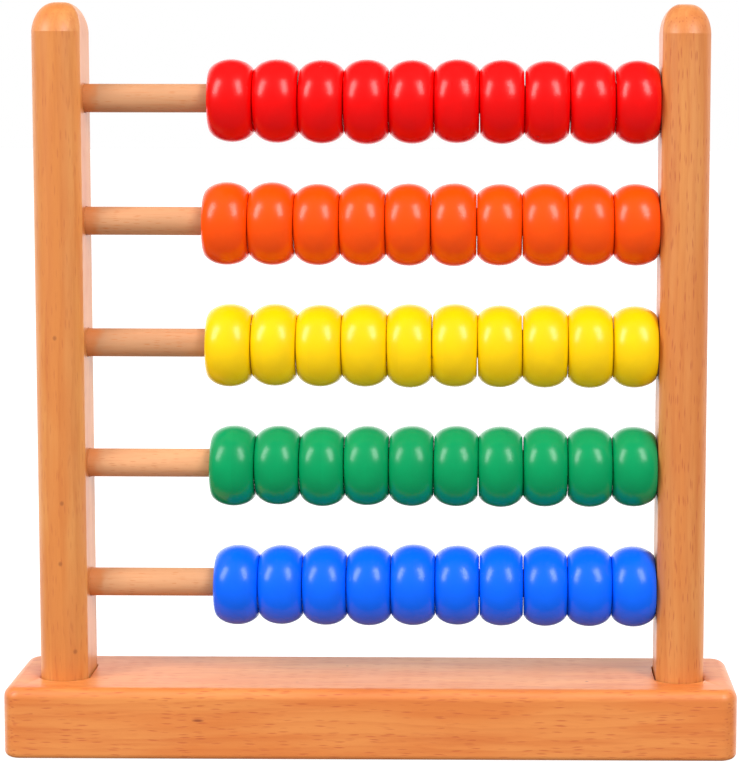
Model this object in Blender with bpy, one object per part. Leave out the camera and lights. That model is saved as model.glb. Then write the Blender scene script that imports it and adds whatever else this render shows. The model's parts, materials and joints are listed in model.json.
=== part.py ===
"""Children's counting frame: a beech base, two posts, five dowels and ten painted beads on each dowel.

Run with: blender --background --python part.py
Metres, +Z up. +X runs along the dowels, the front faces -Y, and the origin is the middle of the
base's underside. The beads are modelled pushed up against the right post.
"""

from math import asin, cos, pi, radians, sin

import bmesh
import bpy
from mathutils import Matrix

# Base
BASE_LENGTH = 0.206
BASE_DEPTH = 0.040
BASE_HEIGHT = 0.020
BASE_CORNER_RADIUS = 0.005
BASE_TOP_EDGE_RADIUS = 0.003
BASE_BOTTOM_EDGE_RADIUS = 0.001

# Posts: flat sides, and a front and back that bow out in one arc each
POST_SPACING = 0.175
POST_WIDTH = 0.0134
POST_DEPTH = 0.0224
POST_BOW = 0.0042
POST_TOP = 0.211
POST_CROWN_HEIGHT = 0.0083
POST_CROWN_INSET = 0.0054
FOOT_DEPTH = 0.012

# Dowels
ROD_DIAMETER = 0.008
ROD_SEAT_DEPTH = 0.008
TOP_ROD_HEIGHT = 0.1843
ROD_PITCH = 0.0345

# Beads
BEAD_BORE = 0.0100
BEAD_CROWN_HEIGHT = 0.0034
BEAD_CROWN_HALF_WIDTH = 0.0026
BEADS_PER_ROD = 10

# Clearance between neighbouring pieces
GAP = 0.0003

# Facets
ROUND_SEGMENTS = 16
CORNER_SEGMENTS = 4
BOW_SEGMENTS = 8
EDGE_STEPS = 3
CROWN_STEPS = 4

# Each row from the top: the width and diameter its beads were turned to, and their paint
ROWS = {
    "red": (0.01235, 0.0235, (0.80, 0.004, 0.004)),
    "orange": (0.01252, 0.0232, (0.90, 0.09, 0.005)),
    "yellow": (0.01245, 0.0235, (0.95, 0.62, 0.005)),
    "green": (0.01236, 0.0228, (0.005, 0.28, 0.085)),
    "blue": (0.01227, 0.0228, (0.005, 0.11, 0.85)),
}
BEECH = (0.72, 0.31, 0.12)
PALE_BEECH = (0.74, 0.43, 0.22)

HALF_POST = POST_WIDTH / 2
INNER_FACE = POST_SPACING / 2 - HALF_POST
BEAD_HANG = (BEAD_BORE - ROD_DIAMETER) / 2 - GAP
ALONG_X = Matrix.Rotation(radians(90), 4, "Y")


def clear_scene():
    for ob in list(bpy.data.objects):
        bpy.data.objects.remove(ob, do_unlink=True)


def make_material(name, colour, roughness):
    mat = bpy.data.materials.new(name)
    mat.use_nodes = True
    shader = mat.node_tree.nodes["Principled BSDF"]
    shader.inputs["Base Color"].default_value = (*colour, 1.0)
    shader.inputs["Roughness"].default_value = roughness
    shader.inputs["Metallic"].default_value = 0.0
    mat.diffuse_color = (*colour, 1.0)
    return mat


def make_object(name, bm, location, material, parent=None):
    """Give the mesh an object whose faces point outwards, placed at the given point."""
    bmesh.ops.recalc_face_normals(bm, faces=bm.faces)
    mesh = bpy.data.meshes.new(name)
    bm.to_mesh(mesh)
    bm.free()
    mesh.shade_smooth()
    mesh.set_sharp_from_angle(angle=radians(40))
    ob = bpy.data.objects.new(name, mesh)
    ob.location = location
    ob.parent = parent
    bpy.context.collection.objects.link(ob)
    if material:
        mesh.materials.append(material)
    return ob


def make_cutter(name, bm, location):
    cutter = make_object(name, bm, location, None)
    cutter.hide_render = True
    cutter.display_type = "WIRE"
    return cutter


def cut(ob, cutter):
    mod = ob.modifiers.new(cutter.name, "BOOLEAN")
    mod.operation = "DIFFERENCE"
    mod.solver = "EXACT"
    mod.object = cutter


def rounded_rectangle(length, depth, radius):
    """Points round a rectangle whose corners are arcs."""
    points = []
    for corner, (side_x, side_y) in enumerate(((1, 1), (-1, 1), (-1, -1), (1, -1))):
        for step in range(CORNER_SEGMENTS + 1):
            angle = (corner + step / CORNER_SEGMENTS) * pi / 2
            x = side_x * (length / 2 - radius) + radius * cos(angle)
            y = side_y * (depth / 2 - radius) + radius * sin(angle)
            points.append((x, y))
    return points


def bowed_outline(width, depth, bow):
    """Points round a post: two flat sides, joined at the front and back by arcs."""
    radius = (width**2 / 4 + bow**2) / (2 * bow)
    reach = asin(width / 2 / radius)
    points = []
    for end in (1, -1):
        for step in range(BOW_SEGMENTS + 1):
            angle = (1 - 2 * step / BOW_SEGMENTS) * reach
            x = end * radius * sin(angle)
            y = end * (depth / 2 - radius + radius * cos(angle))
            points.append((x, y))
    return points


def stack_rings(rings):
    """A closed solid through level outlines, each a height and its points, from the bottom up."""
    bm = bmesh.new()
    levels = [[bm.verts.new((x, y, z)) for x, y in outline] for z, outline in rings]
    for lower, upper in zip(levels, levels[1:]):
        for i in range(len(lower)):
            j = (i + 1) % len(lower)
            bm.faces.new((lower[i], lower[j], upper[j], upper[i]))
    bm.faces.new(levels[0][::-1])
    bm.faces.new(levels[-1])
    bmesh.ops.remove_doubles(bm, verts=bm.verts, dist=1e-6)
    return bm


def edge_rings(length, depth, radius, height, inset, rise, steps, upward):
    """Outlines of an edge rounded over a quarter turn that starts or ends at the given height."""
    rings = []
    for step in range(steps + 1):
        angle = step / steps * pi / 2
        shrink = inset * (1 - cos(angle))
        outline = rounded_rectangle(length - 2 * shrink, depth - 2 * shrink, radius - shrink)
        rings.append((height + (rise if upward else -rise) * sin(angle), outline))
    return rings if upward else rings[::-1]


def cylinder(diameter, length):
    """A closed cylinder along X, centred on the origin."""
    bm = bmesh.new()
    bmesh.ops.create_cone(
        bm,
        cap_ends=True,
        segments=ROUND_SEGMENTS,
        radius1=diameter / 2,
        radius2=diameter / 2,
        depth=length,
        matrix=ALONG_X,
    )
    return bm


def rod_height(row):
    return TOP_ROD_HEIGHT - row * ROD_PITCH


def make_base(material, parent):
    """The block, with a round-ended socket for the foot of each post."""
    size = BASE_LENGTH, BASE_DEPTH, BASE_CORNER_RADIUS
    low, high = BASE_BOTTOM_EDGE_RADIUS, BASE_TOP_EDGE_RADIUS
    rings = edge_rings(*size, low, low, low, 1, upward=False)
    rings += edge_rings(*size, BASE_HEIGHT - high, high, high, EDGE_STEPS, upward=True)
    base = make_object("base", stack_rings(rings), (0, 0, 0), material, parent)
    outline = bowed_outline(POST_WIDTH + 2 * GAP, POST_DEPTH + 2 * GAP, POST_BOW)
    for side, name in ((-1, "left"), (1, "right")):
        floor = BASE_HEIGHT - FOOT_DEPTH - GAP
        bm = stack_rings([(floor, outline), (BASE_HEIGHT + FOOT_DEPTH, outline)])
        cut(base, make_cutter(f"socket_{name}", bm, (side * POST_SPACING / 2, 0, 0)))


def make_post(name, side, material, parent):
    """A post with a domed crown and five blind holes in its inner face for the dowels."""
    start = POST_TOP - POST_CROWN_HEIGHT
    rings = [(BASE_HEIGHT - FOOT_DEPTH, bowed_outline(POST_WIDTH, POST_DEPTH, POST_BOW))]
    for step in range(CROWN_STEPS + 1):
        angle = step / CROWN_STEPS * pi / 2
        shrink = 2 * POST_CROWN_INSET * (1 - cos(angle))
        width = POST_WIDTH - shrink
        outline = bowed_outline(width, POST_DEPTH - shrink, POST_BOW * width / POST_WIDTH)
        rings.append((start + POST_CROWN_HEIGHT * sin(angle), outline))
    x = side * POST_SPACING / 2
    post = make_object(name, stack_rings(rings), (x, 0, 0), material, parent)
    depth = ROD_SEAT_DEPTH + GAP
    for row, colour in enumerate(ROWS):
        hole = cylinder(ROD_DIAMETER + 2 * GAP, 2 * depth)
        place = (side * INNER_FACE, 0, rod_height(row))
        cut(post, make_cutter(f"{name}_hole_{colour}", hole, place))


def make_rod(row, colour, material, parent):
    length = 2 * (INNER_FACE + ROD_SEAT_DEPTH)
    place = (0, 0, rod_height(row))
    make_object(f"rod_{colour}", cylinder(ROD_DIAMETER, length), place, material, parent)


def bead_mesh(width, diameter):
    """A turned ring about X: straight bore, flat sides, and a crown rounded over."""
    half = width / 2
    outer = diameter / 2
    shoulder = outer - BEAD_CROWN_HEIGHT
    profile = [
        (-half, BEAD_BORE / 2),
        (-half, shoulder),
        (-BEAD_CROWN_HALF_WIDTH, outer),
        (BEAD_CROWN_HALF_WIDTH, outer),
        (half, shoulder),
        (half, BEAD_BORE / 2),
    ]
    bm = bmesh.new()
    rings = []
    for segment in range(ROUND_SEGMENTS):
        angle = segment * 2 * pi / ROUND_SEGMENTS
        rings.append([bm.verts.new((x, r * sin(angle), r * cos(angle))) for x, r in profile])
    for here, there in zip(rings, rings[1:] + rings[:1]):
        for i in range(len(profile)):
            j = (i + 1) % len(profile)
            bm.faces.new((here[i], there[i], there[j], here[j]))
    return bm


def make_beads(row, colour, width, diameter, material, parent):
    """Ten beads, counted from the left, hanging on the dowel against the right post."""
    for number in range(1, BEADS_PER_ROD + 1):
        steps = BEADS_PER_ROD - number
        x = INNER_FACE - GAP - width / 2 - steps * (width + GAP)
        place = (x, 0, rod_height(row) - BEAD_HANG)
        make_object(
            f"bead_{colour}_{number}", bead_mesh(width, diameter), place, material, parent
        )


def main():
    clear_scene()
    frame = bpy.data.objects.new("counting_frame", None)
    bpy.context.collection.objects.link(frame)
    make_base(make_material("base_beech", BEECH, 0.4), frame)
    make_post("post_left", -1, make_material("left_post_beech", BEECH, 0.4), frame)
    make_post("post_right", 1, make_material("right_post_beech", BEECH, 0.4), frame)
    for row, (colour, (width, diameter, paint)) in enumerate(ROWS.items()):
        enamel = make_material(f"{colour}_paint", paint, 0.25)
        make_rod(row, colour, make_material(f"{colour}_rod_beech", PALE_BEECH, 0.6), frame)
        make_beads(row, colour, width, diameter, enamel, frame)


main()
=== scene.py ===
"""A child's wooden counting frame: fifty painted beads on five dowels between two beech posts.

It is laid out as an add-on. Each operator builds one piece, or one group of like pieces,
around the fixed frame that is loaded first, and the panel lists them all.
"""

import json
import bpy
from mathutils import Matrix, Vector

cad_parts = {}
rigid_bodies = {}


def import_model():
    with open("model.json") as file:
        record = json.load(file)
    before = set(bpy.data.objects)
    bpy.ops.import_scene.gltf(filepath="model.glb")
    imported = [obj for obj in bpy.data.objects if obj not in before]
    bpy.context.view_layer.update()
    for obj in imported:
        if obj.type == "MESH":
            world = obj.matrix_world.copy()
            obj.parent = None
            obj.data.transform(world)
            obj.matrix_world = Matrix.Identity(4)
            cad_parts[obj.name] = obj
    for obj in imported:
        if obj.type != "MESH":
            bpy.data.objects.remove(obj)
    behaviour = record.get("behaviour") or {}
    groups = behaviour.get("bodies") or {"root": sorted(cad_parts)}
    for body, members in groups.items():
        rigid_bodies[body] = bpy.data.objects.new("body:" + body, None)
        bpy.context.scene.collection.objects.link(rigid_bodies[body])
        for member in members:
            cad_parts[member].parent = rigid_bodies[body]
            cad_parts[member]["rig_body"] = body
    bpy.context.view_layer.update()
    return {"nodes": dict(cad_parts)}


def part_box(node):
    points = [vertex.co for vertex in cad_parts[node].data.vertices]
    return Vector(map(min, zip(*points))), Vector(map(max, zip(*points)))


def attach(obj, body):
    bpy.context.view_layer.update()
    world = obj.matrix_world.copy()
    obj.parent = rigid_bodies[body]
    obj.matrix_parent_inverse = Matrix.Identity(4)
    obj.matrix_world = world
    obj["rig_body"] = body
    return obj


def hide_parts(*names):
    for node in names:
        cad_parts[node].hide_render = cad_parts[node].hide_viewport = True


bl_info = {
    "name": "Wooden Counting Frame",
    "version": (1, 0, 0),
    "blender": (4, 5, 0),
    "location": "3D View > Sidebar > Counting Frame",
    "description": "Builds a beech counting frame with five rows of painted sliding beads",
    "category": "Add Mesh",
}

from math import asin, cos, pi, radians, sin, sqrt

import bmesh
import bpy
from bpy.props import FloatProperty, FloatVectorProperty, IntProperty, PointerProperty
from bpy.types import Operator, Panel, PropertyGroup
from mathutils import Matrix, Vector

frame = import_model()

MM = 0.001
ROWS = ("red", "orange", "yellow", "green", "blue")
BEADS_PER_ROW = 10
POSTS = ("post_left", "post_right")
WHITE = (1.0, 1.0, 1.0)

# Each post: where its pith lies, how wide its growth rings are and how strong its flecks
POST_WOOD = (
    ((0.012, 0.046), 3.6 * MM, 0.55),
    ((0.004, 0.021), 2.4 * MM, 1.0),
)

# The left post's knots: height as a share of the post's, and place across it from -1 to 1
POST_KNOTS = ((0.54, -0.1), (0.31, 0.1), (0.225, 0.0), (0.10, 0.55))
POST_KNOT_SIZE = (0.8 * MM, 3 * MM, 1.0 * MM)
POST_KNOT_DEPTH = 0.55

# Brightness of each dowel's wood, from the top
DOWEL_SHADES = (0.80, 0.88, 0.83, 1.0, 0.92)

# Turns that lay the wood's grain along a piece
GRAIN_ALONG_X = (0.0, 0.0, 0.0)
GRAIN_ALONG_Z = (0.0, radians(90), 0.0)

# Steps in the outlines and levels of the beech pieces
CORNER_STEPS = 12
FOOT_STEPS = 6
FLANK_STEPS = 8
EDGE_STEPS = 10
BOW_STEPS = 40
POST_STEPS = 24
CROWN_STEPS = 20
SEAT_SEGMENTS = 48

# Depth of the sockets and dowel seats, and the room round the piece that sits in each
SOCKET_DEPTH = 6 * MM
SOCKET_ROOM_X = 0.5 * MM
SOCKET_ROOM_Y = 0.22 * MM
SEAT_DEPTH = 3 * MM
SEAT_ROOM = 0.2 * MM

# Beads: how much of the gap to the next bead each fills, and how far they differ
BEAD_BORE = 10.0 * MM
BEAD_SWELL = 0.16 * MM
BEAD_SIDE_DISH = 0.03
WIDTH_SPREAD = 0.08 * MM
DIAMETER_SPREAD = 0.3 * MM
SAG_SPREAD = 0.16 * MM
LEAN_SPREAD = radians(0.8)
TURN_SPREAD = 3.0

FLOOR_HALF_SIZE = 6.0
FLOOR_GLOW = 0.9


def centre(node):
    low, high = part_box(node)
    return (low + high) / 2


def extent(node):
    low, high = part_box(node)
    return high - low


# ---------------------------------------------------------------- node trees


class Wire:
    """One output of a node. Arithmetic on it adds Math nodes to the same tree."""

    def __init__(self, recipe, socket):
        self.recipe = recipe
        self.socket = socket

    def math(self, operation, *others):
        return self.recipe.calculate(operation, self, *others)

    def __add__(self, other):
        return self.math("ADD", other)

    def __sub__(self, other):
        return self.math("SUBTRACT", other)

    def __rsub__(self, other):
        return self.recipe.calculate("SUBTRACT", other, self)

    def __mul__(self, other):
        return self.math("MULTIPLY", other)

    def __truediv__(self, other):
        return self.math("DIVIDE", other)

    def __rtruediv__(self, other):
        return self.recipe.calculate("DIVIDE", other, self)

    def __pow__(self, other):
        return self.math("POWER", other)

    __radd__ = __add__
    __rmul__ = __mul__

    def step(self, low, high):
        """0 below low and 1 above high, smooth between. It runs down if low is the larger."""
        settings = {"interpolation_type": "SMOOTHSTEP", "clamp": True}
        flip = low > high
        values = {"Value": self, "From Min": min(low, high), "From Max": max(low, high)}
        values |= {"To Min": float(flip), "To Max": float(not flip)}
        return self.recipe.node("ShaderNodeMapRange", settings, values)


class Recipe:
    """A node tree that is written as expressions on wires."""

    def __init__(self, tree):
        self.tree = tree
        tree.nodes.clear()

    def node(self, kind, settings=None, values=None, output=0):
        """Add a node: its settings first, then the values or wires of its sockets."""
        made = self.tree.nodes.new(kind)
        for name, value in (settings or {}).items():
            setattr(made, name, value)
        for name, value in (values or {}).items():
            socket = made.inputs[name]
            if isinstance(value, Wire):
                self.tree.links.new(value.socket, socket)
            else:
                socket.default_value = value
        return Wire(self, made.outputs[output]) if made.outputs else made

    def calculate(self, operation, *values):
        return self.node("ShaderNodeMath", {"operation": operation}, dict(enumerate(values)))

    def vector(self, operation, *values):
        output = "Value" if operation == "LENGTH" else "Vector"
        settings = {"operation": operation}
        return self.node("ShaderNodeVectorMath", settings, dict(enumerate(values)), output)

    def scaled_by(self, vector, factor):
        values = {0: vector, "Scale": factor}
        return self.node("ShaderNodeVectorMath", {"operation": "SCALE"}, values)

    def scaled(self, place, scale, shift=(0.0, 0.0, 0.0)):
        values = {"Vector": place, "Scale": scale, "Location": shift}
        return self.node("ShaderNodeMapping", {}, values)

    def split(self, vector):
        made = self.node("ShaderNodeSeparateXYZ", {}, {0: vector}).socket.node
        return [Wire(self, socket) for socket in made.outputs]

    def combine(self, x, y, z):
        return self.node("ShaderNodeCombineXYZ", {}, {0: x, 1: y, 2: z})

    def own_place(self):
        """The point being shaded, in the piece's own coordinates."""
        return self.node("ShaderNodeTexCoord", {}, {}, "Object")

    def noise(self, place, detail=2.0, rough=0.5, output="Fac"):
        values = {"Vector": place, "Scale": 1.0, "Detail": detail, "Roughness": rough}
        return self.node("ShaderNodeTexNoise", {}, values, output)

    def cells(self, place):
        """Scattered points: the distance to the nearest, and its own chance from 0 to 1."""
        settings = {"voronoi_dimensions": "3D", "feature": "F1"}
        values = {"Vector": place, "Scale": 1.0, "Randomness": 1.0}
        distance = self.node("ShaderNodeTexVoronoi", settings, values, "Distance")
        chance = Wire(self, distance.socket.node.outputs["Color"])
        return distance, self.split(chance)[0]

    def mix(self, share, first, second):
        """The first colour, with this share of the second over it."""
        settings = {"data_type": "RGBA"}
        return self.node("ShaderNodeMix", settings, {0: share, 6: first, 7: second}, 2)

    def bump(self, height, distance, strength):
        values = {"Height": height, "Distance": distance, "Strength": strength}
        return self.node("ShaderNodeBump", {}, values)


def opaque(colour):
    return (*colour[:3], 1.0)


def start_material(name):
    material = bpy.data.materials.new(name)
    material.use_nodes = True
    return material, Recipe(material.node_tree)


def finish_material(recipe, varying, fixed):
    """Close the recipe with a shader, from what varies over the surface and what doesn't."""
    shader = recipe.node("ShaderNodeBsdfPrincipled", {}, {**varying, **fixed})
    recipe.node("ShaderNodeOutputMaterial", {}, {"Surface": shader})


# ---------------------------------------------------------------- finishes

# How many times each pattern repeats in a metre, along the grain and then across it both ways
RING_WANDER = (14, 60, 60)
RING_RIPPLE = (90, 160, 160)
BEECH_TONES = (22, 130, 130)
BEECH_STREAKS = (26, 430, 430)
BEECH_FIBRES = (260, 5200, 5200)
BEECH_FLECKS = (210, 1500, 1500)
VARNISH_PATCHES = (70, 70, 70)
DOWEL_TONES = (30, 260, 260)
DOWEL_STREAKS = (70, 1500, 1500)
DOWEL_FLECKS = (330, 2300, 2300)
VARNISH_AND_SHADE_EDGE = (300, 300, 300)
PAINT_CLOUDS = (160, 160, 160)
PAINT_PEEL = (420, 420, 420)
PAINT_GRAIN = (300, 1400, 1400)
PAINT_PITS = (150, 150, 150)


def beech(name, turn, pith, tones, knots, ring, seed, fleck=1.0):
    """Steamed beech under clear varnish: growth rings round a pith, short ray flecks, fibres."""
    light, mid, dark, ray = (opaque(tone) for tone in tones)
    material, recipe = start_material(name)
    place = recipe.own_place()
    grain = recipe.node("ShaderNodeMapping", {}, {"Vector": place, "Rotation": turn})
    grain = recipe.vector("ADD", grain, (seed * 0.37, pith[0], pith[1]))

    wander = recipe.noise(recipe.scaled(grain, RING_WANDER), detail=2.0) - 0.5
    ripple = recipe.noise(recipe.scaled(grain, RING_RIPPLE), detail=1.0) - 0.5
    along, across, through = recipe.split(grain)
    radius = recipe.vector("LENGTH", recipe.combine(0.0, across, through))
    radius = radius + wander * (7 * MM) + ripple * (0.9 * MM)
    season = (radius / ring).math("FRACT")
    late = (season**2.5) * season.step(1.0, 0.9)

    broad = recipe.noise(recipe.scaled(grain, BEECH_TONES, (3.1, 0.7, seed)), detail=3.0)
    streaks = recipe.noise(recipe.scaled(grain, BEECH_STREAKS), detail=4.0, rough=0.62)
    fibre = recipe.noise(recipe.scaled(grain, BEECH_FIBRES), detail=2.0, rough=0.6)

    bent = recipe.combine(along, across + wander * (3 * MM), through + ripple * (1.2 * MM))
    near, chance = recipe.cells(recipe.scaled(bent, BEECH_FLECKS))
    rays = near.step(0.46, 0.12) * chance.step(0.2, 0.8) * fleck

    colour = recipe.mix(broad.step(0.36, 0.64), light, mid)
    colour = recipe.mix(late * 0.35, colour, dark)
    colour = recipe.mix(streaks.step(0.44, 0.74) * 0.55, colour, dark)
    colour = recipe.mix(fibre.step(0.5, 0.8) * 0.12, colour, ray)
    colour = recipe.mix(rays * 0.55, colour, ray)
    marks = rays
    knot_colour = opaque([value * 0.55 for value in ray])
    for spot, size, depth in knots:
        offset = recipe.vector("SUBTRACT", place, spot)
        offset = recipe.vector("DIVIDE", offset, size)
        knot = recipe.vector("LENGTH", offset).step(1.0, 0.25) * depth
        colour = recipe.mix(knot, colour, knot_colour)
        marks = marks.math("MAXIMUM", knot)

    relief = fibre * 0.25 + streaks * 0.25 - rays * 0.6
    patches = recipe.noise(recipe.scaled(place, VARNISH_PATCHES), detail=2.0)
    varying = {
        "Base Color": colour,
        "Roughness": 0.42 + patches * 0.12 + marks * 0.1,
        "Normal": recipe.bump(relief, 0.12 * MM, 0.35),
    }
    fixed = {"IOR": 1.5, "Specular IOR Level": 0.65, "Coat Weight": 0.2, "Coat Roughness": 0.3}
    finish_material(recipe, varying, fixed)
    return material


def dowel_beech(name, tones, reach, seed):
    """Pale unvarnished beech, darker and more orange near each post: partly varnish from the
    posts, partly painted shade where the dowel enters a post.
    """
    light, mid, ray, varnish_and_shade_tone = (opaque(tone) for tone in tones)
    material, recipe = start_material(name)
    place = recipe.own_place()
    grain = recipe.vector("ADD", place, (seed * 0.61, seed * 0.13, 0.0))
    broad = recipe.noise(recipe.scaled(grain, DOWEL_TONES), detail=3.0)
    streaks = recipe.noise(recipe.scaled(grain, DOWEL_STREAKS), detail=3.0, rough=0.6)
    near, chance = recipe.cells(recipe.scaled(grain, DOWEL_FLECKS))
    rays = near.step(0.42, 0.16) * chance.step(0.5, 0.85)
    from_middle = recipe.split(place)[0].math("ABSOLUTE")
    uneven = recipe.noise(recipe.scaled(grain, VARNISH_AND_SHADE_EDGE), detail=1.0) * (4 * MM)
    # Painted shade and varnish: within 3 mm of each post the dowel is darker and more orange,
    # standing for the shade where it enters the post as well as varnish from it
    varnish_and_shade_mask = (from_middle + uneven).step(reach - 3 * MM, reach)

    colour = recipe.mix(broad.step(0.35, 0.65), light, mid)
    colour = recipe.mix(streaks.step(0.5, 0.8) * 0.35, colour, ray)
    colour = recipe.mix(rays * 0.45, colour, ray)
    colour = recipe.mix(varnish_and_shade_mask * 0.6, colour, varnish_and_shade_tone)
    varying = {
        "Base Color": colour,
        "Roughness": 0.6 - varnish_and_shade_mask * 0.2 + streaks * 0.08,
        "Normal": recipe.bump(streaks * 0.5 - rays * 0.5, 0.1 * MM, 0.5),
    }
    finish_material(recipe, varying, {"IOR": 1.45, "Specular IOR Level": 0.4})
    return material


def enamel(name, colour, deep, pitch, seed):
    """Gloss paint on turned wood: a few pits, and a shade that clouds and differs by bead."""
    material, recipe = start_material(name)
    place = recipe.own_place()
    along = recipe.split(place)[0]
    number = (along / pitch + seed).math("FLOOR")
    lot = recipe.node("ShaderNodeTexWhiteNoise", {"noise_dimensions": "1D"}, {"W": number})
    cloud = recipe.noise(recipe.scaled(place, PAINT_CLOUDS, (seed, 0, 0)), detail=2.0)
    peel = recipe.noise(recipe.scaled(place, PAINT_PEEL), detail=1.0)
    grain = recipe.noise(recipe.scaled(place, PAINT_GRAIN, (seed, 0, 0)), detail=2.0)
    near, chance = recipe.cells(recipe.scaled(place, PAINT_PITS, (seed, seed, 0)))
    pits = near.step(0.09, 0.03) * chance.step(0.86, 0.9)

    pit_colour = opaque([value * 0.35 for value in deep])
    shade = recipe.mix(cloud.step(0.3, 0.75) * 0.35, opaque(colour), opaque(deep))
    shade = recipe.mix(lot * 0.22, shade, opaque(deep))
    shade = recipe.mix(pits * 0.7, shade, pit_colour)
    relief = peel * 0.5 + grain * 0.16 - pits * 1.2
    varying = {
        "Base Color": shade,
        "Roughness": 0.22 + cloud * 0.06 + pits * 0.3,
        "Normal": recipe.bump(relief, 0.25 * MM, 0.2),
    }
    finish_material(recipe, varying, {"IOR": 1.5, "Specular IOR Level": 0.35})
    return material


# ---------------------------------------------------------------- shapes


def link_object(name, contents):
    made = bpy.data.objects.new(name, contents)
    bpy.context.scene.collection.objects.link(made)
    return made


def finished_mesh(holder):
    """The object's mesh with its modifiers applied, as a plain mesh."""
    bpy.context.view_layer.update()
    evaluated = holder.evaluated_get(bpy.context.evaluated_depsgraph_get())
    return bpy.data.meshes.new_from_object(evaluated)


def add_piece(name, mesh, node, material=None):
    """Link the mesh as a piece that rides on the body of the frame's node and stands for it."""
    piece = link_object(name, mesh)
    if material:
        mesh.materials.clear()
        mesh.materials.append(material)
    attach(piece, frame["nodes"][node]["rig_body"])
    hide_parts(node)
    return piece


def check_closed(bm, name):
    """Raise an error unless the mesh is one closed skin whose faces look outwards."""
    if any(len(edge.link_faces) != 2 for edge in bm.edges):
        raise RuntimeError(f"{name} is not closed")
    if bm.calc_volume(signed=True) <= 0:
        raise RuntimeError(f"{name} is inside out")


def rounded_outline(half_x, half_y, radius, steps):
    """Points round a rectangle whose corners are arcs, evenly stepped from corner to corner."""
    radius = min(radius, half_x, half_y)
    points = []
    for corner, (side_x, side_y) in enumerate(((1, 1), (-1, 1), (-1, -1), (1, -1))):
        for step in range(steps + 1):
            angle = (corner + step / steps) * pi / 2
            x = side_x * (half_x - radius) + radius * cos(angle)
            y = side_y * (half_y - radius) + radius * sin(angle)
            points.append((x, y))
    return points


def bowed_outline(half_x, half_y, bow, steps):
    """Points round a post: two flat sides that meet a bowed front and back along a crease."""
    radius = (half_x**2 + bow**2) / (2 * bow)
    reach = asin(half_x / radius)
    points = []
    for end in (1, -1):
        for step in range(steps + 1):
            angle = (1 - 2 * step / steps) * reach
            y = half_y - radius + radius * cos(angle)
            points.append((end * radius * sin(angle), end * y))
    return points


def stack_outlines(levels):
    """A closed skin through level outlines, each a height and its points, from the bottom up."""
    bm = bmesh.new()
    rings = [[bm.verts.new((x, y, z)) for x, y in outline] for z, outline in levels]
    for lower, upper in zip(rings, rings[1:]):
        for i in range(len(lower)):
            j = (i + 1) % len(lower)
            bm.faces.new((lower[i], lower[j], upper[j], upper[i]))
    bm.faces.new(rings[0][::-1])
    bm.faces.new(rings[-1])
    return bm


def shaped_mesh(name, bm, move, sharp=40):
    """A smooth-shaded mesh moved to its place, with edges past the sharp angle kept crisp."""
    bmesh.ops.remove_doubles(bm, verts=bm.verts, dist=0.002 * MM)
    bmesh.ops.recalc_face_normals(bm, faces=bm.faces)
    bmesh.ops.translate(bm, verts=bm.verts, vec=move)
    mesh = bpy.data.meshes.new(name)
    bm.to_mesh(mesh)
    bm.free()
    mesh.shade_smooth()
    mesh.set_sharp_from_angle(angle=radians(sharp))
    return mesh


def carve(mesh, cutters):
    """Cut the cutters out of the mesh and return the result as a plain mesh."""
    blank = link_object("blank", mesh)
    tools = []
    for cutter in cutters:
        tool = link_object("cutter", cutter)
        cut = blank.modifiers.new("cut", "BOOLEAN")
        cut.operation = "DIFFERENCE"
        cut.solver = "EXACT"
        cut.object = tool
        tools.append(tool)
    result = finished_mesh(blank)
    for used in (blank, *tools):
        bpy.data.objects.remove(used, do_unlink=True)
    return result


def keep_flats_flat(mesh):
    """Weight each corner's normal by its faces' areas, so that flats stay flat beside rounds."""
    holder = link_object("holder", mesh)
    weigh = holder.modifiers.new("weigh", "WEIGHTED_NORMAL")
    weigh.keep_sharp = True
    weigh.weight = 80
    result = finished_mesh(holder)
    bpy.data.objects.remove(holder, do_unlink=True)
    return result


class Shaper(Recipe):
    """A geometry tree with named inputs, whose result can be taken out as a plain mesh."""

    def __init__(self, name, inputs):
        super().__init__(bpy.data.node_groups.new(name, "GeometryNodeTree"))
        self.sockets = {}
        for label, kind in inputs.items():
            made = self.tree.interface.new_socket(label, in_out="INPUT", socket_type=kind)
            self.sockets[label] = made.identifier
        self.tree.interface.new_socket(
            "Geometry", in_out="OUTPUT", socket_type="NodeSocketGeometry"
        )
        entry = self.tree.nodes.new("NodeGroupInput")
        self.inputs = {s.name: Wire(self, s) for s in entry.outputs if s.name}

    def finish(self, geometry):
        """End the tree with real geometry that carries the given material."""
        geometry = self.node("GeometryNodeRealizeInstances", {}, {"Geometry": geometry})
        values = {"Geometry": geometry, "Material": self.inputs["Material"]}
        geometry = self.node("GeometryNodeSetMaterial", {}, values)
        self.node("NodeGroupOutput", {}, {"Geometry": geometry})

    def make(self, name, values):
        """Run the tree once with these values and return the result as a plain mesh."""
        holder = link_object("holder", bpy.data.meshes.new("holder"))
        modifier = holder.modifiers.new("shape", "NODES")
        modifier.node_group = self.tree
        for label, value in values.items():
            modifier[self.sockets[label]] = value
        mesh = finished_mesh(holder)
        mesh.name = name
        bpy.data.objects.remove(holder, do_unlink=True)
        return mesh


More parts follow.
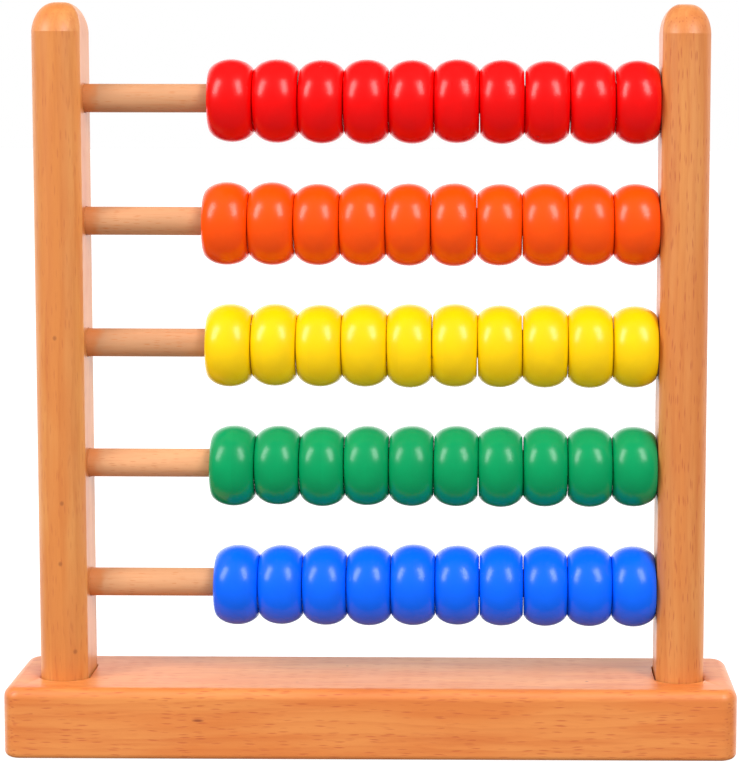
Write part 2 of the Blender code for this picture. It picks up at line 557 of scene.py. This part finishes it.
def bead_shaper():
    """A ring turned about X: round crown, nearly flat sides, straight bore with eased edges."""
    crown_fullness, bore_fullness = 2.0, 7.0
    number, vector = "NodeSocketFloat", "NodeSocketVector"
    inputs = {
        "Width": number,
        "Diameter": number,
        "Bore": number,
        "Crown Height": number,
        "Overhang": number,
        "Edge Ease": number,
        "Side Dish": number,
        "Unevenness": number,
        "Around": "NodeSocketInt",
        "Across": "NodeSocketInt",
        "Seed": number,
        "Place": vector,
        "Tilt": vector,
        "Material": "NodeSocketMaterial",
    }
    tree = Shaper("turned_bead", inputs)
    given = tree.inputs
    values = {"Size X": 1.0, "Size Y": 1.0}
    values |= {"Vertices X": given["Around"], "Vertices Y": given["Across"]}
    grid = tree.node("GeometryNodeMeshGrid", {}, values, "Mesh")
    place = tree.node("GeometryNodeInputPosition")
    u, v, _ = tree.split(place)
    turn = u * (2 * pi)
    loop = (v + 0.25) * (2 * pi)  # the section's seam lies in the middle of the bore
    side, rise = loop.math("COSINE"), loop.math("SINE")
    outside = rise.math("GREATER_THAN", 0.0)

    def eased(wave, fullness):
        size = (wave.math("ABSOLUTE") - 0.0001).math("MAXIMUM", 0.0)
        return wave.math("SIGN") * (size ** (2.0 / fullness))

    fullness = crown_fullness * outside + bore_fullness * (1.0 - outside)
    half_width = given["Width"] * 0.5
    outer = given["Diameter"] * 0.5
    inner = given["Bore"] * 0.5
    shoulder = outer - given["Crown Height"]
    reach = given["Crown Height"] * outside + (shoulder - inner) * (1.0 - outside)
    lift = eased(rise, fullness)
    wide = half_width * (1.0 + given["Overhang"] * outside)
    reached = wide * eased(side, fullness)
    limit = half_width * (1.0 - given["Side Dish"] * (1.0 - outside) * lift.math("ABSOLUTE"))
    held = reached.math("ABSOLUTE").math("SMOOTH_MIN", limit, given["Edge Ease"])
    x = reached.math("SIGN") * held
    radius = shoulder + reach * lift
    y, z = radius * turn.math("SINE"), radius * turn.math("COSINE")
    body = tree.combine(x, y, z)
    shift = tree.combine(given["Seed"] * 3.7, given["Seed"] * 1.3, 0.0)
    spot = tree.vector("ADD", tree.scaled_by(body, 70.0), shift)
    bumpy = tree.noise(spot, detail=1.0) - 0.5
    grown = 1.0 + bumpy * given["Unevenness"] / outer
    body = tree.combine(x, y * grown, z * grown)
    shaped = tree.node("GeometryNodeSetPosition", {}, {"Geometry": grid, "Position": body})
    values = {"Geometry": shaped, "Distance": 0.001 * MM}
    shaped = tree.node("GeometryNodeMergeByDistance", {}, values)
    values = {"Geometry": shaped, "Translation": given["Place"], "Rotation": given["Tilt"]}
    shaped = tree.node("GeometryNodeTransform", {}, values)
    shaped = tree.node("GeometryNodeSetShadeSmooth", {}, {"Geometry": shaped})
    tree.finish(shaped)
    return tree


def dowel_shaper():
    """A dowel drawn along a line that may bow a little, with flat closed ends."""
    number, vector = "NodeSocketFloat", "NodeSocketVector"
    inputs = {
        "Start": vector,
        "End": vector,
        "Diameter": number,
        "Bow": number,
        "Seed": number,
        "Material": "NodeSocketMaterial",
    }
    tree = Shaper("drawn_dowel", inputs)
    given = tree.inputs
    values = {"Start": given["Start"], "End": given["End"]}
    line = tree.node("GeometryNodeCurvePrimitiveLine", {"mode": "POINTS"}, values)
    values = {"Curve": line, "Count": 33}
    line = tree.node("GeometryNodeResampleCurve", {"mode": "COUNT"}, values)
    place = tree.node("GeometryNodeInputPosition")
    share = tree.node("GeometryNodeSplineParameter", {}, {}, "Factor")
    belly = share * (1.0 - share) * 4.0
    seeded = tree.combine(given["Seed"] * 5.1, 0.0, 0.0)
    drift = tree.noise(tree.vector("ADD", tree.scaled_by(place, 9.0), seeded), output="Color")
    drift = tree.vector("SUBTRACT", drift, (0.5, 0.5, 0.5))
    offset = tree.vector("MULTIPLY", drift, (0.0, 1.0, 1.0))
    offset = tree.scaled_by(offset, belly * given["Bow"] * 2.0)
    line = tree.node("GeometryNodeSetPosition", {}, {"Geometry": line, "Offset": offset})
    values = {"Resolution": 40, "Radius": given["Diameter"] * 0.5}
    ring = tree.node("GeometryNodeCurvePrimitiveCircle", {"mode": "RADIUS"}, values, "Curve")
    values = {"Curve": line, "Profile Curve": ring, "Fill Caps": True}
    tube = tree.node("GeometryNodeCurveToMesh", {}, values)
    tube = tree.node("GeometryNodeSetShadeSmooth", {}, {"Geometry": tube})
    tree.finish(tube)
    return tree


# ---------------------------------------------------------------- settings


def length_setting(name, description, default):
    return FloatProperty(
        name=name, description=description, default=default, min=0.0, subtype="DISTANCE",
        unit="LENGTH", precision=5,
    )


def angle_setting(name, description, default):
    return FloatProperty(
        name=name, description=description, default=default, subtype="ANGLE", unit="ROTATION"
    )


def colour_setting(name, description, default):
    return FloatVectorProperty(
        name=name, description=description, default=default, size=3, min=0.0, max=1.0,
        subtype="COLOR",
    )


class WoodSettings(PropertyGroup):
    """Sizes and colours of the base, the posts and the dowels."""

    base_corner: length_setting("Base corner", "Radius of the base's upright corners", 5 * MM)
    base_edge: length_setting(
        "Base top edge", "Radius of the round along the base's top edge", 3 * MM
    )
    base_foot: length_setting(
        "Base bottom edge", "Radius of the round under the base", 1.6 * MM
    )
    post_bow: length_setting(
        "Post bow", "How far the front and back of a post stand out", 4.2 * MM
    )
    crown_height: length_setting(
        "Crown height", "How far down the round top of a post reaches", 8.3 * MM
    )
    crown_tilt: angle_setting(
        "Crown tilt", "How far the crown leans in at once at its lower edge", radians(22)
    )
    crown_corner: length_setting(
        "Crown corner", "How far the crown draws in at each side", 5.4 * MM
    )
    dowel_bow: length_setting(
        "Dowel bow", "How far a dowel may wander from a straight line", 0.25 * MM
    )
    light: colour_setting("Light beech", "Palest wood of base and posts", (0.76, 0.255, 0.053))
    mid: colour_setting("Middle beech", "Usual wood of base and posts", (0.71, 0.198, 0.032))
    dark: colour_setting("Dark beech", "Late wood of the growth rings", (0.60, 0.135, 0.018))
    ray: colour_setting("Ray fleck", "Short dark flecks along the grain", (0.50, 0.080, 0.010))
    left_tint: colour_setting(
        "Left post tint", "What the left post's wood is multiplied by", (0.95, 1.12, 1.25)
    )
    right_tint: colour_setting(
        "Right post tint", "What the right post's wood is multiplied by", (0.91, 1.02, 1.15)
    )
    dowel: colour_setting("Dowel", "Pale wood of the dowels", (0.75, 0.36, 0.170))


class BeadSettings(PropertyGroup):
    """Shape and colours of the beads."""

    crown: length_setting("Crown", "Height of the elliptical crown", 4.6 * MM)
    overhang: FloatProperty(
        name="Overhang", description="Share of the crown's ellipse that the sides cut off",
        default=0.075, min=0.0, max=0.5, subtype="FACTOR",
    )
    ease: length_setting("Edge ease", "Rounding between crown and sides", 0.25 * MM)
    unevenness: length_setting(
        "Unevenness", "How far the turned skin strays from round", 0.25 * MM
    )
    around: IntProperty(name="Around", description="Faces round a bead", default=64, min=16)
    across: IntProperty(name="Across", description="Faces round its section", default=40, min=16)
    red: colour_setting("Red", "Paint of the first row", (0.83, 0.001, 0.001))
    orange: colour_setting("Orange", "Paint of the second row", (0.92, 0.078, 0.001))
    yellow: colour_setting("Yellow", "Paint of the third row", (0.95, 0.610, 0.001))
    green: colour_setting("Green", "Paint of the fourth row", (0.001, 0.31, 0.100))
    blue: colour_setting("Blue", "Paint of the fifth row", (0.001, 0.130, 0.94))


class StudioSettings(PropertyGroup):
    """Camera, floor and lights."""

    eye: FloatVectorProperty(
        name="Eye", description="Where the camera stands", size=3, unit="LENGTH",
        subtype="TRANSLATION", default=(0.0347, -0.6320, 0.1878),
    )
    heading: angle_setting("Heading", "Turn to the right", radians(-0.14))
    dip: angle_setting("Dip", "Downward tilt", radians(5.43))
    roll: angle_setting("Roll", "Turn about the line of sight", radians(0.20))
    lens: FloatProperty(name="Lens", description="Focal length", default=105.5, unit="CAMERA")
    shift_x: FloatProperty(name="Shift across", description="Lens shift", default=-0.1575)
    shift_y: FloatProperty(name="Shift up", description="Lens shift", default=-0.1078)
    floor: colour_setting("Floor", "Pale studio floor", (0.25, 0.25, 0.25))
    back: FloatProperty(name="Back", description="Brightness of the room behind", default=1.9)
    fill: FloatProperty(name="Fill", description="Even light from all round", default=0.62)
    sky: FloatProperty(name="Sky", description="Further soft light from above", default=0.45)
    panels: FloatProperty(
        name="Panel light", description="Power of each soft light", default=23.6, unit="POWER"
    )
    panel_wide: length_setting("Panel width", "Width of each soft light", 0.62)
    panel_tall: length_setting("Panel height", "Height of each soft light", 1.22)
    panel_away: length_setting("Panel distance", "From the object's middle to each light", 2.0)
    left_side: angle_setting(
        "Left panel side", "Turn of the left light from the front", radians(-57)
    )
    left_rise: angle_setting(
        "Left panel rise", "Height of the left light as an angle", radians(34)
    )
    right_side: angle_setting(
        "Right panel side", "Turn of the right light from the front", radians(38)
    )
    right_rise: angle_setting(
        "Right panel rise", "Height of the right light as an angle", radians(40)
    )


# ---------------------------------------------------------------- operators


def spread(number, seed):
    """A value from -1 to 1 that looks random and is the same each time for a piece's number."""
    return sin(number * 12.9898 + seed * 78.233) * 43758.5453 % 1.0 * 2.0 - 1.0


def wood_tones(wood, tint=WHITE):
    """The four tones of the beech, each multiplied by the tint."""
    tones = wood.light, wood.mid, wood.dark, wood.ray
    return [[part * share for part, share in zip(tone, tint)] for tone in tones]


class COUNTING_OT_base(Operator):
    """Build the base: a beech block with rounded edges and a bowed socket for each post"""

    bl_idname = "counting.base"
    bl_label = "Base"

    def execute(self, context):
        wood = context.scene.counting_wood
        low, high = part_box("base")
        size = (high - low) / 2
        middle = (high + low) / 2
        levels = []

        def level(height, inset):
            corner = max(wood.base_corner - inset, 0.5 * MM)
            outline = rounded_outline(size.x - inset, size.y - inset, corner, CORNER_STEPS)
            levels.append((height, outline))

        foot, edge = wood.base_foot, wood.base_edge
        flank = high.z - edge - foot - low.z
        for step in range(FOOT_STEPS, -1, -1):
            angle = step / FOOT_STEPS * pi / 2
            level(low.z + foot * (1 - sin(angle)), foot * (1 - cos(angle)))
        for step in range(1, FLANK_STEPS):
            level(low.z + foot + flank * step / FLANK_STEPS, 0.0)
        for step in range(EDGE_STEPS + 1):
            angle = step / EDGE_STEPS * pi / 2
            level(high.z - edge * (1 - sin(angle)), edge * (1 - cos(angle)))
        block = stack_outlines(levels)
        mesh = shaped_mesh("beech_base", block, (middle.x, middle.y, 0.0), sharp=35)
        sockets = []
        for node in POSTS:
            post_size, place = extent(node) / 2, centre(node)
            half_x, half_y = post_size.x + SOCKET_ROOM_X, post_size.y + SOCKET_ROOM_Y
            outline = bowed_outline(half_x, half_y, wood.post_bow, BOW_STEPS)
            ends = high.z - SOCKET_DEPTH, high.z + SOCKET_DEPTH
            hole = stack_outlines([(height, outline) for height in ends])
            sockets.append(shaped_mesh("socket", hole, (place.x, place.y, 0.0)))
        mesh = keep_flats_flat(carve(mesh, sockets))
        # Each knot's place, half sizes and darkness: one in the front, then three in the top
        knots = [
            ((middle.x - 0.048, low.y, low.z + 11.3 * MM), (2.2 * MM, 3 * MM, 0.55 * MM), 0.85),
            ((middle.x + 0.061, low.y + 11 * MM, high.z), (0.7 * MM, 0.5 * MM, 1 * MM), 0.8),
            ((middle.x - 0.008, low.y + 27 * MM, high.z), (0.6 * MM, 0.5 * MM, 1 * MM), 0.7),
            ((middle.x - 0.021, low.y + 9 * MM, high.z), (0.7 * MM, 0.4 * MM, 1 * MM), 0.5),
        ]
        material = beech(
            "varnished_beech_base", GRAIN_ALONG_X, (0.028, 0.071), wood_tones(wood), knots,
            ring=3.4 * MM, seed=1.0,
        )
        add_piece("beech_base", mesh, "base", material)
        return {"FINISHED"}


class COUNTING_OT_posts(Operator):
    """Build both posts: flat sides, bowed front and back, domed top, a seat for each dowel"""

    bl_idname = "counting.posts"
    bl_label = "Posts"

    def execute(self, context):
        wood = context.scene.counting_wood
        for side, node in enumerate(POSTS):
            low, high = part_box(node)
            size, middle = (high - low) / 2, (high + low) / 2
            start = high.z - wood.crown_height
            levels = []
            for step in range(POST_STEPS + 1):
                height = low.z + (start - low.z) * step / POST_STEPS
                outline = bowed_outline(size.x, size.y, wood.post_bow, BOW_STEPS)
                levels.append((height, outline))
            tilt = wood.crown_tilt
            for step in range(1, CROWN_STEPS + 1):
                angle = tilt + (pi / 2 - tilt) * step / CROWN_STEPS
                rise = (sin(angle) - sin(tilt)) / (1 - sin(tilt))
                height = start + wood.crown_height * rise
                half_y = size.y * cos(angle) / cos(tilt) + 0.02 * MM
                half_x = size.x - wood.crown_corner * (1 - sqrt(1 - rise**2))
                bow = min(wood.post_bow * half_x / size.x, half_y * 0.9)
                levels.append((height, bowed_outline(half_x, half_y, bow, BOW_STEPS)))
            post = stack_outlines(levels)
            mesh = shaped_mesh(node, post, (middle.x, middle.y, 0.0), sharp=12)
            seats = []
            for row in ROWS:
                rod, place = extent(f"rod_{row}"), centre(f"rod_{row}")
                seat = bmesh.new()
                radius = rod.z / 2 + SEAT_ROOM
                inner = middle.x + (size.x if side == 0 else -size.x)
                bmesh.ops.create_cone(
                    seat, cap_ends=True, segments=SEAT_SEGMENTS, radius1=radius,
                    radius2=radius, depth=2 * SEAT_DEPTH,
                    matrix=Matrix.Rotation(radians(90), 4, "Y"),
                )
                seats.append(shaped_mesh("seat", seat, (inner, place.y, place.z)))
            mesh = keep_flats_flat(carve(mesh, seats))
            knots = []
            if side == 0:
                for share, across in POST_KNOTS:
                    height = low.z + (high.z - low.z) * share
                    spot = (middle.x + size.x * across, low.y + 0.5 * MM, height)
                    knots.append((spot, POST_KNOT_SIZE, POST_KNOT_DEPTH))
            pith, ring, fleck = POST_WOOD[side]
            tint = (wood.left_tint, wood.right_tint)[side]
            material = beech(
                f"varnished_beech_{node}", GRAIN_ALONG_Z, pith, wood_tones(wood, tint), knots,
                ring=ring, seed=2.0 + side * 3, fleck=fleck,
            )
            add_piece(f"beech_{node}", mesh, node, material)
        return {"FINISHED"}


class COUNTING_OT_dowels(Operator):
    """Build the five dowels"""

    bl_idname = "counting.dowels"
    bl_label = "Dowels"

    def execute(self, context):
        wood = context.scene.counting_wood
        shaper = dowel_shaper()
        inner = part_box("post_right")[0].x
        for number, row in enumerate(ROWS):
            node = f"rod_{row}"
            low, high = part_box(node)
            middle = (low + high) / 2
            light = Vector(wood.dowel) * DOWEL_SHADES[number]
            # The tone near the dowel's ends is partly varnish and partly painted shade where the
            # dowel enters a post
            fleck, varnish = Vector(wood.mid) * 0.75, Vector(wood.mid) * 0.9
            tones = [light, light * 0.9, fleck, varnish]
            material = dowel_beech(f"dowel_beech_{row}", tones, inner, number + 1.0)
            values = {
                "Start": (low.x, middle.y, middle.z),
                "End": (high.x, middle.y, middle.z),
                "Diameter": high.z - low.z,
                "Bow": wood.dowel_bow,
                "Seed": float(number),
                "Material": material,
            }
            mesh = shaper.make(f"dowel_{row}", values)
            mesh.set_sharp_from_angle(angle=radians(40))
            add_piece(f"dowel_{row}", mesh, node)
        return {"FINISHED"}


class COUNTING_OT_beads(Operator):
    """Build the fifty beads, ten on each dowel, each a little different"""

    bl_idname = "counting.beads"
    bl_label = "Beads"

    def execute(self, context):
        beads = context.scene.counting_beads
        shaper = bead_shaper()
        pitch = centre("bead_red_2").x - centre("bead_red_1").x
        for line, row in enumerate(ROWS):
            paint = Vector(getattr(beads, row))
            material = enamel(f"{row}_enamel", paint, paint * 0.8, pitch, line * 1.7)
            for number in range(1, BEADS_PER_ROW + 1):
                node = f"bead_{row}_{number}"
                size, place = extent(node), centre(node)
                key = line * BEADS_PER_ROW + number
                sag = spread(key, 4) * SAG_SPREAD
                values = {
                    "Width": size.x + BEAD_SWELL + spread(key, 1) * WIDTH_SPREAD,
                    "Diameter": size.z + spread(key, 2) * DIAMETER_SPREAD,
                    "Bore": BEAD_BORE,
                    "Crown Height": beads.crown,
                    "Overhang": beads.overhang,
                    "Edge Ease": beads.ease,
                    "Side Dish": BEAD_SIDE_DISH,
                    "Unevenness": beads.unevenness,
                    "Around": beads.around + 1,
                    "Across": beads.across + 1,
                    "Seed": float(key),
                    "Place": (place.x, place.y, place.z + sag),
                    "Tilt": (spread(key, 5) * TURN_SPREAD, spread(key, 3) * LEAN_SPREAD, 0.0),
                    "Material": material,
                }
                mesh = shaper.make(f"painted_{node}", values)
                bm = bmesh.new()
                bm.from_mesh(mesh)
                check_closed(bm, node)
                bm.free()
                add_piece(f"painted_{node}", mesh, node)
        return {"FINISHED"}


class COUNTING_OT_studio(Operator):
    """Set up the pale floor, the soft light and the camera"""

    bl_idname = "counting.studio"
    bl_label = "Studio"

    def execute(self, context):
        scene, studio = context.scene, context.scene.counting_studio
        bm = bmesh.new()
        bmesh.ops.create_grid(bm, x_segments=1, y_segments=1, size=FLOOR_HALF_SIZE)
        mesh = bpy.data.meshes.new("studio_floor")
        bm.to_mesh(mesh)
        bm.free()
        material, recipe = start_material("pale_floor")
        values = {"Roughness": 0.9, "Base Color": opaque(studio.floor)}
        values |= {"Emission Color": opaque(WHITE), "Emission Strength": FLOOR_GLOW}
        finish_material(recipe, {}, values)
        mesh.materials.append(material)
        floor = link_object("studio_floor", mesh)
        floor.visible_diffuse = False
        floor.visible_glossy = False

        world = bpy.data.worlds.new("studio_room")
        world.use_nodes = True
        recipe = Recipe(world.node_tree)
        way = recipe.node("ShaderNodeTexCoord", {}, {}, "Generated")
        _, back, up = recipe.split(way)
        # Gloss mirrors a bright wall behind, which fades out high and low
        mirrored = back.step(-0.1, 0.5) * up.step(0.75, 0.25) * studio.back
        mirrored = mirrored * up.step(-0.6, -0.3)
        rays = recipe.node("ShaderNodeLightPath").socket.node
        seen = Wire(recipe, rays.outputs["Is Camera Ray"])
        gloss = Wire(recipe, rays.outputs["Is Glossy Ray"])
        even = studio.fill + studio.sky * up.math("MAXIMUM", 0.0)
        glow = mirrored * gloss + even * (1.0 - gloss)
        glow = seen.math("MAXIMUM", glow)
        values = {"Color": opaque(WHITE), "Strength": glow}
        room = recipe.node("ShaderNodeBackground", {}, values)
        recipe.node("ShaderNodeOutputWorld", {}, {"Surface": room})
        scene.world = world
        scene.view_settings.view_transform = "Standard"

        middle = Vector((0.0, 0.0, 0.11))
        for name, side, rise in (
            ("left", studio.left_side, studio.left_rise),
            ("right", studio.right_side, studio.right_rise),
        ):
            light = bpy.data.lights.new(f"soft_panel_{name}", "AREA")
            light.shape = "RECTANGLE"
            light.size, light.size_y = studio.panel_wide, studio.panel_tall
            light.energy = studio.panels
            panel = link_object(f"soft_panel_{name}", light)
            aim = Vector((sin(side) * cos(rise), -cos(side) * cos(rise), sin(rise)))
            panel.location = middle + aim * studio.panel_away
            panel.rotation_euler = aim.to_track_quat("Z", "Y").to_euler()

        camera = link_object("camera", bpy.data.cameras.new("camera"))
        ahead = Vector((
            sin(studio.heading) * cos(studio.dip),
            cos(studio.heading) * cos(studio.dip),
            -sin(studio.dip),
        ))
        right = Vector((cos(studio.heading), -sin(studio.heading), 0.0))
        above = right.cross(ahead)
        across = right * cos(studio.roll) + above * sin(studio.roll)
        above = above * cos(studio.roll) - right * sin(studio.roll)
        turn = Matrix((across, above, -ahead)).transposed().to_4x4()
        camera.matrix_world = Matrix.Translation(studio.eye) @ turn
        camera.data.sensor_width = 36.0
        camera.data.lens = studio.lens
        camera.data.shift_x, camera.data.shift_y = studio.shift_x, studio.shift_y
        camera.data.clip_start, camera.data.clip_end = 0.01, 50.0
        scene.camera = camera
        return {"FINISHED"}


class COUNTING_PT_panel(Panel):
    """Lists the pieces of the counting frame and their settings"""

    bl_idname = "COUNTING_PT_panel"
    bl_label = "Counting Frame"
    bl_space_type = "VIEW_3D"
    bl_region_type = "UI"
    bl_category = "Counting Frame"

    def draw(self, context):
        column = self.layout.column()
        for operator in OPERATORS:
            column.operator(operator.bl_idname)
        for settings in SETTINGS:
            group = getattr(context.scene, settings)
            for name in group.__annotations__:
                column.prop(group, name)


OPERATORS = (
    COUNTING_OT_base, COUNTING_OT_posts, COUNTING_OT_dowels, COUNTING_OT_beads,
    COUNTING_OT_studio,
)
SETTINGS = {
    "counting_wood": WoodSettings,
    "counting_beads": BeadSettings,
    "counting_studio": StudioSettings,
}
CLASSES = (*SETTINGS.values(), *OPERATORS, COUNTING_PT_panel)


def register():
    for made in CLASSES:
        bpy.utils.register_class(made)
    for name, group in SETTINGS.items():
        setattr(bpy.types.Scene, name, PointerProperty(type=group))


def unregister():
    for name in SETTINGS:
        delattr(bpy.types.Scene, name)
    for made in reversed(CLASSES):
        bpy.utils.unregister_class(made)


def main():
    register()
    bpy.ops.counting.base()
    bpy.ops.counting.posts()
    bpy.ops.counting.dowels()
    bpy.ops.counting.beads()
    bpy.ops.counting.studio()


if __name__ == "__main__":
    main()
